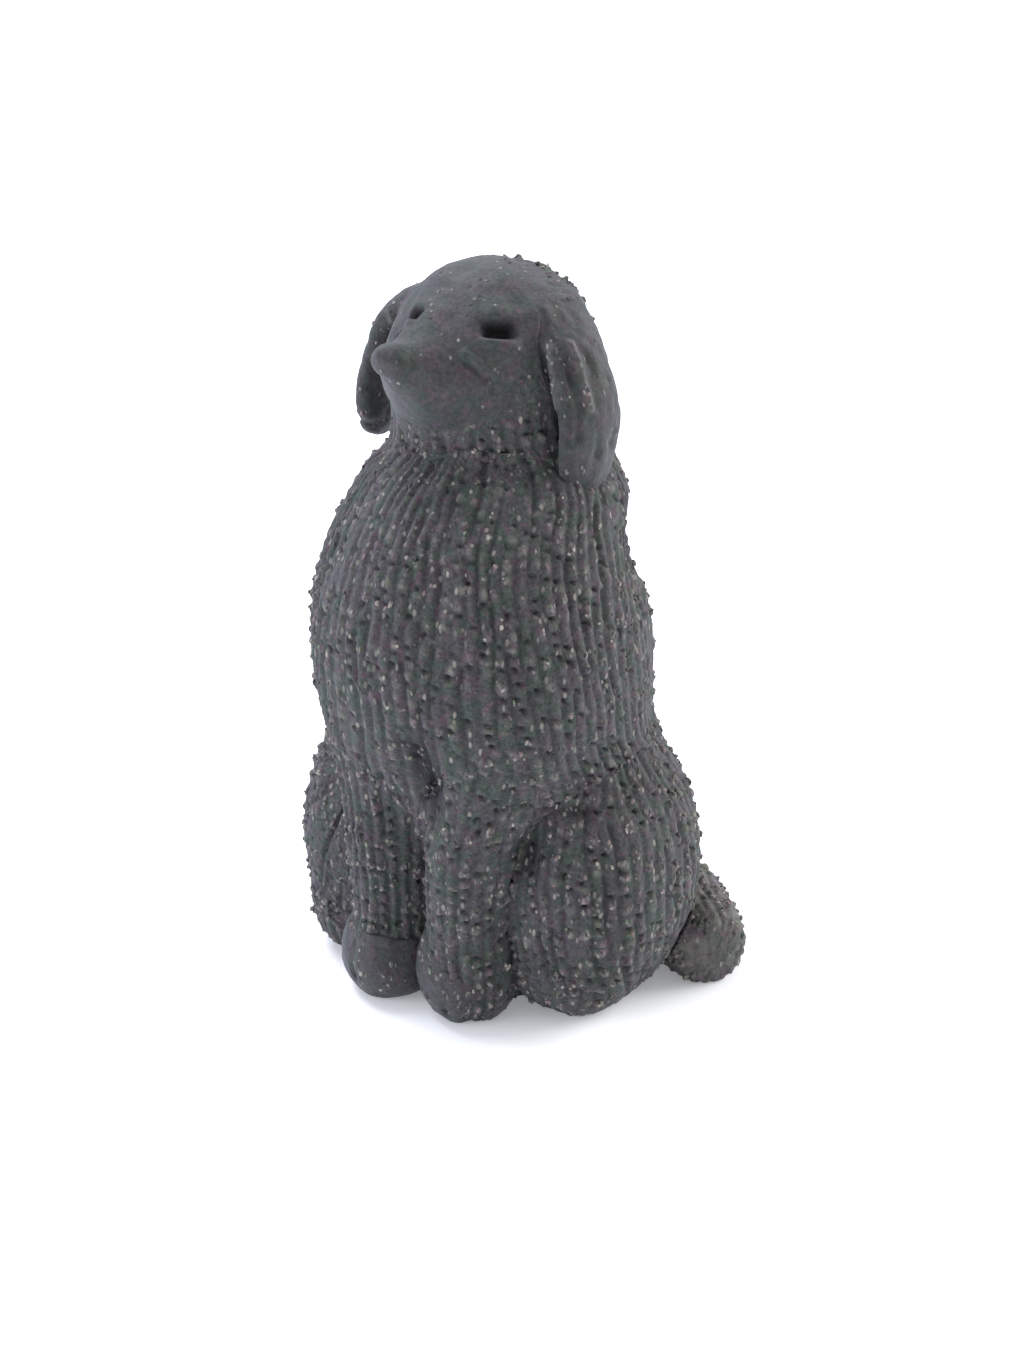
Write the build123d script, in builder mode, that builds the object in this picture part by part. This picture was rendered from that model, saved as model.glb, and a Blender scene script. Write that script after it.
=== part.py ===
from build123d import *

import os

# A seated dog figurine of fired clay, hand built from lumps of clay that are pressed and
# luted on to one another while they are soft. Each lump is one solid, and where two lumps
# meet, one is pressed to the shape of the other, so that they touch face to face.
# Millimetres, +Z up. The dog faces -Y and its left side is +X. The origin is on the resting
# face, between the forepaws and the tail.

# Driving dimensions
HEIGHT = 99.0  # resting face to the crown of the topknot
BODY_WIDTH = 46.8  # across the ribs
BODY_DEPTH = 47.2  # chest to back, at the ribs
WALL = 6.5  # clay left when the body is hollowed from below
HEAD_RADII = (12.2, 12.5, 11.5)  # across, front to back, up and down
HEAD_TURN = -7.0  # degrees about Z, so that the nose points a little to the dog's right
HEAD_ROLL = 3.0  # degrees about Y, so that the left ear hangs lower
CROWN = 12.6  # from the middle of the head up to the crown
HEAD_CENTRE = (-1.0, -1.5, HEIGHT - CROWN)
LEG_SPACING = 12.8  # between the middles of the forelegs, at the paws
THIGH_RADII = (12.6, 17.6, 20.2)
HIND_PAW_RADII = (7.8, 8.2, 6.8)


def level(x, y, z):
    """A flat plane at one height."""
    return Plane(origin=(x, y, z), x_dir=(1, 0, 0), z_dir=(0, 0, 1))


def skin(stations):
    """The solid through flat ellipses. A station is (plane, half length, half breadth)."""
    with BuildPart() as clay:
        for plane, half_length, half_breadth in stations:
            with BuildSketch(plane):
                Ellipse(half_length, half_breadth)
        loft()
    return clay.part


def roll(points, broad, radii):
    """A roll of clay along points, its sections square to its path.
    broad is the direction of the first of each pair of radii."""
    path = [Vector(*point) for point in points]
    stations = []
    for place, (half_length, half_breadth) in enumerate(radii):
        before, after = path[max(place - 1, 0)], path[min(place + 1, len(path) - 1)]
        forward = (after - before).normalized()
        across = Vector(*broad) - forward * forward.dot(Vector(*broad))
        plane = Plane(origin=path[place], x_dir=across, z_dir=forward)
        stations.append((plane, half_length, half_breadth))
    return skin(stations)


def ball(centre, radii):
    """An ellipsoid with its axes along X, Y and Z."""
    with BuildPart() as egg:
        Sphere(1.0)
        scale(by=radii)
    return egg.part.moved(Location(centre))


def on_head(shape):
    """From the head's own frame, which is level and looks along -Y, to the dog's."""
    return shape.moved(Location(HEAD_CENTRE, (0, HEAD_ROLL, HEAD_TURN)))


# ---------------------------------------------------------------- shapes before they are seated
# The body is an upright egg, leaning forward at the ribs. A ring is its height as a share of
# HEIGHT, its half width as a share of BODY_WIDTH, and its half depth and the distance of its
# middle behind the origin as shares of BODY_DEPTH.
BODY_RINGS = (
    (0.000, 0.385, 0.371, 0.127),
    (0.090, 0.417, 0.392, 0.127),
    (0.222, 0.438, 0.413, 0.095),
    (0.323, 0.474, 0.458, 0.032),
    (0.404, 0.487, 0.487, -0.053),
    (0.485, 0.500, 0.500, -0.095),
    (0.576, 0.470, 0.466, -0.119),
    (0.657, 0.423, 0.415, -0.102),
    (0.712, 0.376, 0.364, -0.068),
    (0.747, 0.312, 0.303, -0.047),
    (0.773, 0.214, 0.208, -0.034),
)
HOLLOW_RINGS = 8  # the hollow follows the rings up to this one


def body_rings(count, wall):
    return [
        (
            level(0, back * BODY_DEPTH, height * HEIGHT),
            half_width * BODY_WIDTH - wall,
            half_depth * BODY_DEPTH - wall,
        )
        for height, half_width, half_depth, back in BODY_RINGS[:count]
    ]


body_clay = skin(body_rings(len(BODY_RINGS), 0))

# The neck is a short thick roll that shows only as a collar between the body and the head.
neck_clay = roll(
    ((0, 0.5, 65), (-0.2, 0, 71), (-0.6, -0.6, 77), (-1, -1.5, 83)),
    (1, 0, 0),
    ((13.2, 13.0), (13.4, 13.2), (13.2, 13.0), (10.5, 10.5)),
)
head_clay = on_head(ball((0, 0, 0), HEAD_RADII))
muzzle_clay = on_head(
    roll(
        ((0, -4, -2.8), (0, -9, -2.4), (0, -13, -1.4), (0, -16.5, 0.8), (0, -19, 2.2)),
        (1, 0, 0),
        ((10.6, 9.2), (9.2, 7.8), (6.9, 5.8), (4.6, 3.9), (2.5, 2.2)),
    )
)
nose_clay = on_head(ball((0, -19.0, 3.1), (2.1, 1.9, 1.7)))
TOPKNOT_RADII = (9.8, 10.8, 5.2)  # the tuft on the crown
topknot_clay = on_head(ball((0, 1.0, CROWN - TOPKNOT_RADII[2]), TOPKNOT_RADII))
SOCKET_RADII = (2.3, 3.2, 1.25)  # the empty eye sockets are lying slots
socket_shapes = [on_head(ball((side * 8.6, -8.4, 4.4), SOCKET_RADII)) for side in (-1, 1)]

# An ear hangs from the side of the crown: its path in the head's frame, on the left side,
# then half breadth (front to back) and half thickness.
EAR_PATH = ((6, 1.2, 9.2), (11, 1.0, 7.6), (14.6, 0.7, 3.2), (16.3, 0.3, -3.2), (16.6, 0, -9.6))
EAR_TIP = (16.0, 0)
EAR_RADII = ((3.0, 1.8), (4.4, 2.2), (5.0, 2.1), (5.2, 2.0), (4.6, 1.8), (2.6, 1.1))
EAR_DROPS = {"left": 14.8, "right": 12.8}  # how far the tip hangs below the head's middle
EAR_FLARES = {"left": 0.0, "right": 1.1}  # how much further out than the path an ear hangs


def ear(name, side):
    path = EAR_PATH + ((*EAR_TIP, -EAR_DROPS[name]),)
    flared = [(side * (x + EAR_FLARES[name]), y, z) for x, y, z in path]
    return on_head(roll(flared, (0, 1, 0), EAR_RADII))


left_ear_clay = ear("left", 1)
right_ear_clay = ear("right", -1)

# A foreleg stands square to the ground and leans out to its shoulder.
LEG_LEVELS = (6, 14, 22, 30, 38, 45)
LEG_BACK = (-15.8, -16.2, -16.6, -16.6, -15.4, -13.0)  # the middle of the leg along Y
LEG_RADII = ((5.7, 6.0), (5.9, 6.3), (6.2, 6.6), (6.4, 7.0), (6.8, 7.4), (6.6, 7.0))
SHOULDER_LEAN = {"left": (0, 0, 0.6, 1.8, 3.2, 4.4), "right": (0, 0, 0.2, 0.4, 0.4, 0.2)}


def foreleg(name, side):
    foot_x = side * LEG_SPACING / 2
    path = [
        (foot_x + side * lean, y, z)
        for lean, y, z in zip(SHOULDER_LEAN[name], LEG_BACK, LEG_LEVELS)
    ]
    return skin([(level(*point), *radii) for point, radii in zip(path, LEG_RADII)])


left_foreleg_clay = foreleg("left", 1)
right_foreleg_clay = foreleg("right", -1)
left_forepaw_clay = ball((5.2, -16.6, 5.8), (6.5, 7.0, 6.6))
right_forepaw_clay = ball((-6.5, -17.2, 5.6), (6.4, 7.2, 6.4))

# The haunches are lumps on the body's sides, and a hind paw shows under each.
left_thigh_clay = ball((16.3, -0.5, 18.2), THIGH_RADII)
right_thigh_clay = ball((-17.0, -1.0, 18.2), THIGH_RADII)
left_hind_paw_clay = ball((16.0, -7.8, 6.0), HIND_PAW_RADII)
right_hind_paw_clay = ball((-17.6, -8.8, 6.0), HIND_PAW_RADII)

# The tail lies on the ground and curls forward along the dog's left side.
tail_clay = roll(
    ((5, 22, 7.0), (12, 20.4, 6.9), (18.5, 17.2, 6.5), (24.5, 13.4, 5.9), (29.5, 10.2, 5.2)),
    (0, 0, 1),
    ((6.8, 6.6), (7.1, 7.0), (7.0, 6.9), (6.4, 6.3), (5.4, 5.2)),
)

# ---------------------------------------------------------------- the seated pieces
with BuildPart() as body:
    add(body_clay)
    add(skin(body_rings(HOLLOW_RINGS, WALL)), mode=Mode.SUBTRACT)

with BuildPart() as neck:
    add(neck_clay)
    add([body_clay, head_clay], mode=Mode.SUBTRACT)

with BuildPart() as head:
    add(head_clay)
    add(body_clay, mode=Mode.SUBTRACT)
    add(socket_shapes, mode=Mode.SUBTRACT)

with BuildPart() as muzzle:
    add(muzzle_clay)
    add([head_clay, neck_clay, body_clay], mode=Mode.SUBTRACT)
    add(socket_shapes, mode=Mode.SUBTRACT)

with BuildPart() as nose:
    add(nose_clay)
    add(muzzle_clay, mode=Mode.SUBTRACT)

with BuildPart() as topknot:
    add(topknot_clay)
    add(head_clay, mode=Mode.SUBTRACT)

with BuildPart() as left_ear:
    add(left_ear_clay)
    add([head_clay, topknot_clay, body_clay], mode=Mode.SUBTRACT)

with BuildPart() as right_ear:
    add(right_ear_clay)
    add([head_clay, topknot_clay, body_clay], mode=Mode.SUBTRACT)

with BuildPart() as left_foreleg:
    add(left_foreleg_clay)
    add(body_clay, mode=Mode.SUBTRACT)

with BuildPart() as right_foreleg:
    add(right_foreleg_clay)
    add(body_clay, mode=Mode.SUBTRACT)

with BuildPart() as left_forepaw:
    add(left_forepaw_clay)
    add([left_foreleg_clay, right_foreleg_clay, body_clay], mode=Mode.SUBTRACT)
    split(bisect_by=Plane.XY, keep=Keep.TOP)

with BuildPart() as right_forepaw:
    add(right_forepaw_clay)
    add([right_foreleg_clay, left_forepaw_clay, body_clay], mode=Mode.SUBTRACT)
    split(bisect_by=Plane.XY, keep=Keep.TOP)

with BuildPart() as left_thigh:
    add(left_thigh_clay)
    add([body_clay, left_foreleg_clay, left_forepaw_clay], mode=Mode.SUBTRACT)
    split(bisect_by=Plane.XY, keep=Keep.TOP)

with BuildPart() as right_thigh:
    add(right_thigh_clay)
    add([body_clay, right_foreleg_clay, right_forepaw_clay], mode=Mode.SUBTRACT)
    split(bisect_by=Plane.XY, keep=Keep.TOP)

with BuildPart() as left_hind_paw:
    add(left_hind_paw_clay)
    add([left_thigh_clay, body_clay, left_foreleg_clay, left_forepaw_clay], mode=Mode.SUBTRACT)
    split(bisect_by=Plane.XY, keep=Keep.TOP)

with BuildPart() as right_hind_paw:
    add(right_hind_paw_clay)
    add([right_thigh_clay, body_clay, right_foreleg_clay, right_forepaw_clay], mode=Mode.SUBTRACT)
    split(bisect_by=Plane.XY, keep=Keep.TOP)

with BuildPart() as tail:
    add(tail_clay)
    add([body_clay, left_thigh_clay], mode=Mode.SUBTRACT)
    split(bisect_by=Plane.XY, keep=Keep.TOP)

# ---------------------------------------------------------------- one file for each piece
PIECES = {
    "body": body,
    "neck": neck,
    "head": head,
    "muzzle": muzzle,
    "nose": nose,
    "topknot": topknot,
    "left_ear": left_ear,
    "right_ear": right_ear,
    "left_foreleg": left_foreleg,
    "right_foreleg": right_foreleg,
    "left_forepaw": left_forepaw,
    "right_forepaw": right_forepaw,
    "left_thigh": left_thigh,
    "right_thigh": right_thigh,
    "left_hind_paw": left_hind_paw,
    "right_hind_paw": right_hind_paw,
    "tail": tail,
}

os.makedirs("parts", exist_ok=True)
for name, piece in PIECES.items():
    piece.part.label = name
    export_step(piece.part, f"parts/{name}.step")
    print(name, len(piece.part.solids()), round(piece.part.volume))
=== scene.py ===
"""A seated dog in combed, unglazed dark clay: its lumps and rolls, their strokes, finishes and stage."""

import math

import bpy
import numpy as np
from bpy.props import FloatProperty, FloatVectorProperty, IntProperty, PointerProperty
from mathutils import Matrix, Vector


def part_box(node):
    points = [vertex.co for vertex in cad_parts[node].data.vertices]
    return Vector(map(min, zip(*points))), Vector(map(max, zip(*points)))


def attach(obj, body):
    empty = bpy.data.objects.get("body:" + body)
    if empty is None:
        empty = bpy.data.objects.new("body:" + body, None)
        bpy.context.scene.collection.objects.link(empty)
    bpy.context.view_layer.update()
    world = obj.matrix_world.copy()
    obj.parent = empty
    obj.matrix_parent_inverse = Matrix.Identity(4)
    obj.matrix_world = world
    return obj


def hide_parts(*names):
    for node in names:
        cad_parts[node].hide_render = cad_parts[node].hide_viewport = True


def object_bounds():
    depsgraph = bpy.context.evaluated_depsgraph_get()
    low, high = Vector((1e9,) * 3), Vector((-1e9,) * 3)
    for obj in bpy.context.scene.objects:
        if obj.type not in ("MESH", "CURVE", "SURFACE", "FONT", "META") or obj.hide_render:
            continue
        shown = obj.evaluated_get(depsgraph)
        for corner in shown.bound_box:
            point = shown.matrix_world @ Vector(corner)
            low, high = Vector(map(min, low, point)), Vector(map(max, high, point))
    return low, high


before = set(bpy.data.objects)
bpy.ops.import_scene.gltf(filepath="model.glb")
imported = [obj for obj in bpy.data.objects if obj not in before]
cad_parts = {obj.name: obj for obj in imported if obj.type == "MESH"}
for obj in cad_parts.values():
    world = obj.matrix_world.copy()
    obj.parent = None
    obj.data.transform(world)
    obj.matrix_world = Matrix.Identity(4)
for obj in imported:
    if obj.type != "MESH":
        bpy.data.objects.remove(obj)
CAD_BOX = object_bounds()

bl_info = {
    "name": "Combed Clay Dog",
    "version": (1, 0, 0),
    "blender": (4, 5, 0),
    "location": "View3D > Sidebar > Clay Dog",
    "description": "Builds a seated dog in combed, unglazed clay around its packed frame",
    "category": "Add Mesh",
}

MM = 0.001  # the functions work in millimetres, and meshes and properties are in metres
BODY = "root"  # the one rigid body, since fired clay has no joints
COMBED, SMOOTH = "combed_clay", "smooth_clay"
# groove and pit carry painted shade, and bead carries wear and painted highlight
MASKS = ("groove", "bead", "pit", "tone")  # what each point of a skin carries for its finish


# ---------------------------------------------------------------- places from the frame
def corners(node):
    """Lowest and highest corner of a node of the frame, in millimetres."""
    low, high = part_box(node)
    return np.array(low) / MM, np.array(high) / MM


def place(node, shares):
    """Points at shares of a node's box: its lowest corner plus the shares of its three sides."""
    low, high = corners(node)
    return low + np.asarray(shares, float) * (high - low)


# ---------------------------------------------------------------- numbers
def smooth_step(low, high, value):
    """0 below low and 1 above high, with a cubic between them that starts and ends level."""
    share = np.clip((value - low) / (high - low), 0, 1)
    return share * share * (3 - 2 * share)


def bell(distance, width):
    """A bell curve: e to the minus square of the distance in widths."""
    return np.exp(-((distance / width) ** 2))


def slab(distance, width):
    """A flat-topped bell: e to the minus fourth power of the distance in widths."""
    return np.exp(-((distance / width) ** 4))


def hashed(seed, *cells):
    """A share from 0 to 1 that is random from cell to cell and the same at every run: whole numbers
    are multiplied by large odd numbers and added, and the bits of the sum are mixed."""
    total = np.zeros(np.broadcast(*cells).shape if len(cells) > 1 else np.shape(cells[0]), np.uint32)
    total += np.uint32((seed * 2654435761 + 97) % 2**32)
    for cell, factor in zip(cells, (374761393, 668265263, 1274126177)):
        total = total + np.asarray(cell).astype(np.int64).astype(np.uint32) * np.uint32(factor)
        total = (total ^ (total >> np.uint32(15))) * np.uint32(2246822519)
    total = (total ^ (total >> np.uint32(13))) * np.uint32(3266489917)
    return (total ^ (total >> np.uint32(16))) / 2.0**32


def drift(points, size, seed):
    """Smooth noise from -1 to 1 in lumps about size across: a random value at each corner of a
    cubic lattice, blended along each axis by a smooth step."""
    spots = points / size
    cell = np.floor(spots).astype(np.int64)
    share = smooth_step(0, 1, spots - cell)
    total = np.zeros(points.shape[:-1])
    for corner in np.ndindex(2, 2, 2):
        weight = np.prod(np.where(np.array(corner), share, 1 - share), axis=-1)
        total += weight * hashed(seed, *np.moveaxis(cell + corner, -1, 0))
    return 2 * total - 1


def curve_through(stations, at):
    """A smooth curve through rows of numbers, read at places counted in rows: between two rows, a
    cubic whose slope at each is half the difference of the rows either side of it."""
    rows = np.asarray(stations, float)
    cell = np.clip(np.floor(at).astype(int), 0, len(rows) - 2)
    share = (np.asarray(at, float) - cell)[:, None]
    rows = np.vstack((2 * rows[0] - rows[1], rows, 2 * rows[-1] - rows[-2]))
    before, start, end, after = (rows[cell + k] for k in range(4))
    bend = 2 * before - 5 * start + 4 * end - after
    twist = 3 * start - before - 3 * end + after
    return 0.5 * (2 * start + (end - before) * share + bend * share**2 + twist * share**3)


def unit(vectors):
    """Vectors divided by their length."""
    length = np.linalg.norm(vectors, axis=-1, keepdims=True)
    return vectors / np.maximum(length, 1e-9)


def turned(angles):
    """The rotation by three angles in degrees about X, then the turned Y, then the turned Z, as a
    matrix whose columns are the turned axes."""
    x, y, z = np.radians(angles)
    about_x = np.array(((1, 0, 0), (0, np.cos(x), -np.sin(x)), (0, np.sin(x), np.cos(x))))
    about_y = np.array(((np.cos(y), 0, np.sin(y)), (0, 1, 0), (-np.sin(y), 0, np.cos(y))))
    about_z = np.array(((np.cos(z), -np.sin(z), 0), (np.sin(z), np.cos(z), 0), (0, 0, 1)))
    return about_x @ about_y @ about_z


# ---------------------------------------------------------------- forms
class Lump:
    """A ball of clay pressed to three half sizes, combed away from a pole."""

    def __init__(self, centre, radii, pole=(0, 0, 1), turn=np.eye(3)):
        self.centre, self.radii = np.asarray(centre, float), np.asarray(radii, float)
        self.pole, self.turn = unit(np.asarray(pole, float)), turn

    def grid(self, rows, columns):
        """An angle down from the pole and an angle round it give a direction: the cosine of the
        first along the pole and its sine round it. The point is that direction times the half
        sizes, turned and moved to the centre."""
        down = np.linspace(0, np.pi, rows)[:, None, None]
        around = (np.arange(columns) / columns * 2 * np.pi)[None, :, None]
        least = np.eye(3)[np.argmin(np.abs(self.pole))]
        side = unit(np.cross(least, self.pole))
        other = np.cross(self.pole, side)
        ring = np.cos(around) * side + np.sin(around) * other
        direction = np.cos(down) * self.pole + np.sin(down) * ring
        return self.centre + (direction * self.radii) @ self.turn.T

    def own(self, points):
        """Points in the lump's own axes, from its centre."""
        return (points - self.centre) @ self.turn

    def reach(self, points):
        """How far points are outside the surface, near it: with k the length of a point measured
        in half sizes, k (k - 1) over the length of k's slope."""
        spot = self.own(points)
        k = np.linalg.norm(spot / self.radii, axis=-1)
        slope = np.linalg.norm(spot / self.radii**2, axis=-1)
        return k * (k - 1) / np.maximum(slope, 1e-9)


class Roll:
    """A roll of clay along a path, with an oval section at each station and rounded ends."""

    SAMPLES = 90

    def __init__(self, path, radii, broad, blunt=0.8):
        self.stations = np.hstack((np.asarray(path, float), np.asarray(radii, float)))
        self.broad, self.blunt = np.asarray(broad, float), blunt

    def frames(self, at):
        """Middle, half sizes and directions (broad, thin, onward) of the sections at places on
        the path."""
        here = curve_through(self.stations, at)
        ahead = curve_through(self.stations, at + 0.01)[:, :3]
        behind = curve_through(self.stations, at - 0.01)[:, :3]
        onward = unit(ahead - behind)
        broad = unit(self.broad - onward * (onward @ self.broad)[:, None])
        return here[:, :3], here[:, 3:], broad, np.cross(broad, onward), onward

    def grid(self, rows, columns):
        """A place along the path and an angle round its section: the middle, plus the cosine of
        the angle times the half breadth, plus its sine times the half thickness. At each end the
        section shrinks by a sine while its middle moves on by a cosine, which rounds the end."""
        last = len(self.stations) - 1
        caps = max(rows // 7, 6)
        turn = np.linspace(0, np.pi / 2, caps, endpoint=False)
        at = np.concatenate((0 * turn, np.linspace(0, last, rows - 2 * caps), last + 0 * turn))
        flat = np.ones(rows - 2 * caps)
        shrink = np.concatenate((np.sin(turn), flat, np.sin(turn)[::-1]))
        beyond = np.concatenate((-np.cos(turn), 0 * flat, np.cos(turn)[::-1]))
        middle, half, broad, thin, onward = self.frames(at)
        middle = middle + onward * (beyond * half.mean(1) * self.blunt)[:, None]
        half = half * shrink[:, None]
        around = (np.arange(columns) / columns * 2 * np.pi)[None, :, None]
        across = np.cos(around) * (half[:, :1] * broad)[:, None]
        through = np.sin(around) * (half[:, 1:] * thin)[:, None]
        return middle[:, None] + across + through

    def reach(self, points):
        """How far points are outside the surface, near it: as for a lump, with the half sizes of
        the section beside the point. That section is found from the nearest of many, moved along
        the path until it is level with the point. Past either end, the lump's third half size is
        the rounded end's length."""
        at = np.linspace(0, len(self.stations) - 1, self.SAMPLES)
        middle, half, broad, thin, onward = self.frames(at)
        length = np.linalg.norm(np.gradient(middle, axis=0), axis=1)
        growth = np.gradient(half, axis=0) / length[:, None]
        flat = points.reshape(-1, 3)
        apart = (flat**2).sum(1)[:, None] - 2 * flat @ middle.T + (middle**2).sum(1)
        near = np.argmin(apart, axis=1)
        offset = flat - middle[near]
        ahead = (offset * onward[near]).sum(1)
        most, least = length[near] * (near < self.SAMPLES - 1), length[near] * (near > 0)
        level = np.clip(ahead, -least, most)
        sizes = half[near] + growth[near] * level[:, None]
        sizes = np.column_stack((sizes, sizes.mean(1) * self.blunt))
        along = [(offset * axis[near]).sum(1) for axis in (broad, thin)]
        spot = np.stack((*along, ahead - level), -1)
        k = np.linalg.norm(spot / sizes, axis=-1)
        slope = np.linalg.norm(spot / sizes**2, axis=-1)
        return (k * (k - 1) / np.maximum(slope, 1e-9)).reshape(points.shape[:-1])


class Egg:
    """The upright body: level oval rings, hollowed from below with an even wall."""

    # Each ring: its height as a share of the body's, then its half width, its half depth and how
    # far its middle lies behind the origin, as shares of the body's width. Top ring first.
    RINGS = (
        (1.000, 0.214, 0.210, -0.034),
        (0.966, 0.313, 0.306, -0.047),
        (0.921, 0.377, 0.368, -0.069),
        (0.850, 0.424, 0.420, -0.103),
        (0.745, 0.464, 0.465, -0.120),
        (0.627, 0.492, 0.498, -0.100),
        (0.523, 0.484, 0.491, -0.066),
        (0.418, 0.470, 0.463, 0.016),
        (0.287, 0.439, 0.418, 0.090),
        (0.116, 0.424, 0.398, 0.120),
        (0.000, 0.398, 0.380, 0.122),
    )
    WALL = 6.5
    HOLLOW_TOP = 0.80  # how far up the hollow reaches, as a share of the body's height
    RIM_ROWS, INNER_ROWS = 3, 22

    def __init__(self, node):
        low, high = corners(node)
        width, height = high[0] - low[0], high[2] - low[2]
        self.rings = np.array(self.RINGS) * (height, width, width, width)
        self.middle = (low[0] + high[0]) / 2

    def ring_points(self, sizes, columns):
        """Each row's oval: the half width times the cosine of an angle, and the half depth times
        its sine from the ring's middle, at the ring's height."""
        around = np.arange(columns) / columns * 2 * np.pi
        height, half_width, half_depth, back = sizes.T[:, :, None]
        x = self.middle + half_width * np.cos(around)
        y = back + half_depth * np.sin(around)
        return np.stack((x, y, np.broadcast_to(height, x.shape)), -1)

    def grid(self, rows, columns):
        """Down the outside by equal steps along the outline, across the foot rim, and up the
        hollow to its own closed top, whose wall is the outline less the wall's thickness."""
        outer_rows = rows - self.RIM_ROWS - self.INNER_ROWS
        fine = curve_through(self.rings, np.linspace(0, len(self.rings) - 1, 400))
        lid = np.array((fine[0] * (1, 0.001, 0.001, 1),))
        fine = np.vstack((lid, fine))
        length = np.concatenate(([0], np.cumsum(np.hypot(*np.diff(fine[:, :2], axis=0).T))))
        steps = np.linspace(0, length[-1], outer_rows)
        outer = np.stack([np.interp(steps, length, column) for column in fine.T], -1)
        thinner = np.array((0, self.WALL, self.WALL, 0))
        rim = outer[-1] - thinner * np.linspace(0.25, 0.9, self.RIM_ROWS)[:, None]
        up = np.linspace(0, 1, self.INNER_ROWS)
        top = self.HOLLOW_TOP * self.rings[0, 0]
        heights = top * np.sin(up * np.pi / 2)
        rising = outer[::-1]
        inner = np.stack([np.interp(heights, rising[:, 0], column) for column in rising.T], -1)
        inner = inner - thinner
        inner[:, 1:3] *= np.sqrt(np.maximum(1 - (heights / top) ** 6, 1e-6))[:, None]
        return self.ring_points(np.vstack((outer, rim, inner)), columns)

    def reach(self, points):
        """How far points are outside the skin, near it, measured level: k (k - 1) over the slope
        of k, where k is the distance from the ring's middle in half sizes."""
        rising = self.rings[::-1]
        height = points[..., 2]
        wide, deep, back = (np.interp(height, rising[:, 0], rising[:, i]) for i in (1, 2, 3))
        x, y = points[..., 0] - self.middle, points[..., 1] - back
        k = np.hypot(x / wide, y / deep)
        slope = np.hypot(x / wide**2, y / deep**2)
        return k * (k - 1) / np.maximum(slope, 1e-9)


def slope_of(form, points):
    """How far points are outside a form, and the direction in which that grows, found by a short
    step both ways along each axis."""
    steps = 0.3 * np.eye(3)
    growth = [form.reach(points + step) - form.reach(points - step) for step in steps]
    return form.reach(points), unit(np.stack(growth, -1))


# ---------------------------------------------------------------- surfaces
class Surface:
    """A closed grid of points, rows from pole to pole and columns all the way round."""

    def __init__(self, points):
        self.points = points
        self.normals = self.find_normals()

    def find_normals(self):
        """The step down the rows crossed with the step round the columns. A pole takes the mean
        of the row beside it."""
        down = np.gradient(self.points, axis=0)
        around = np.roll(self.points, -1, axis=1) - np.roll(self.points, 1, axis=1)
        normals = unit(np.cross(down, around))
        normals[0] = unit(normals[1].mean(0))
        normals[-1] = unit(normals[-2].mean(0))
        return normals

    def measure(self):
        """The way down each column from the pole, and the step from column to column."""
        steps = np.linalg.norm(np.diff(self.points, axis=0), axis=-1)
        self.along = np.vstack((np.zeros((1, steps.shape[1])), np.cumsum(steps, axis=0)))
        across = np.roll(self.points, -1, axis=1) - self.points
        self.step = np.linalg.norm(across, axis=-1)
        self.girth = self.step.sum(1)

    def move(self, height):
        """Moves every point along its normal."""
        self.points = self.points + self.normals * np.asarray(height)[..., None]

    def meld(self, form, others, deep=0.2, shallow=0.03):
        """Melds the surface with its neighbours, as a thumb does. Let a be how far a point has
        gone outside its own form and b how far it is outside the neighbour: the blend of both is
        the lesser of them, less a quarter of the width times the square of 1 - |a - b| / width.
        Four steps down the blend's slope carry each point to where it is 0, and fade out for a
        point that started deeper inside the neighbour, between the two given shares of the width.
        Such a point also sinks a little, so that only one skin shows."""
        flat = self.points.reshape(-1, 3).copy()
        for other, width in others:
            start = other.reach(flat) / width
            near = np.flatnonzero((start < 1) & (start > -deep))
            hold = smooth_step(-deep, -shallow, start[near])
            spot = flat[near]
            own = form.reach(spot)
            sunk = 0.1 * np.clip(-start[near] / 0.1, 0, 1) ** 2
            for _ in range(4):
                a, a_slope = slope_of(form, spot)
                b, b_slope = slope_of(other, spot)
                a = a - own
                inside = np.maximum(1 - np.abs(a - b) / width, 0)
                blend = np.minimum(a, b) - width / 4 * inside**2
                share = np.where(a < b, 1 - inside / 2, inside / 2)[:, None]
                slope = share * a_slope + (1 - share) * b_slope
                steep = np.maximum((slope**2).sum(-1), 0.3)
                spot = spot - slope * (hold * (blend + sunk) / steep)[:, None]
            flat[near] = spot
        self.points = flat.reshape(self.points.shape)
        self.normals = self.find_normals()

    def rest(self):
        """Nothing reaches below the ground."""
        self.points[..., 2] = np.maximum(self.points[..., 2], 0)


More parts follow.
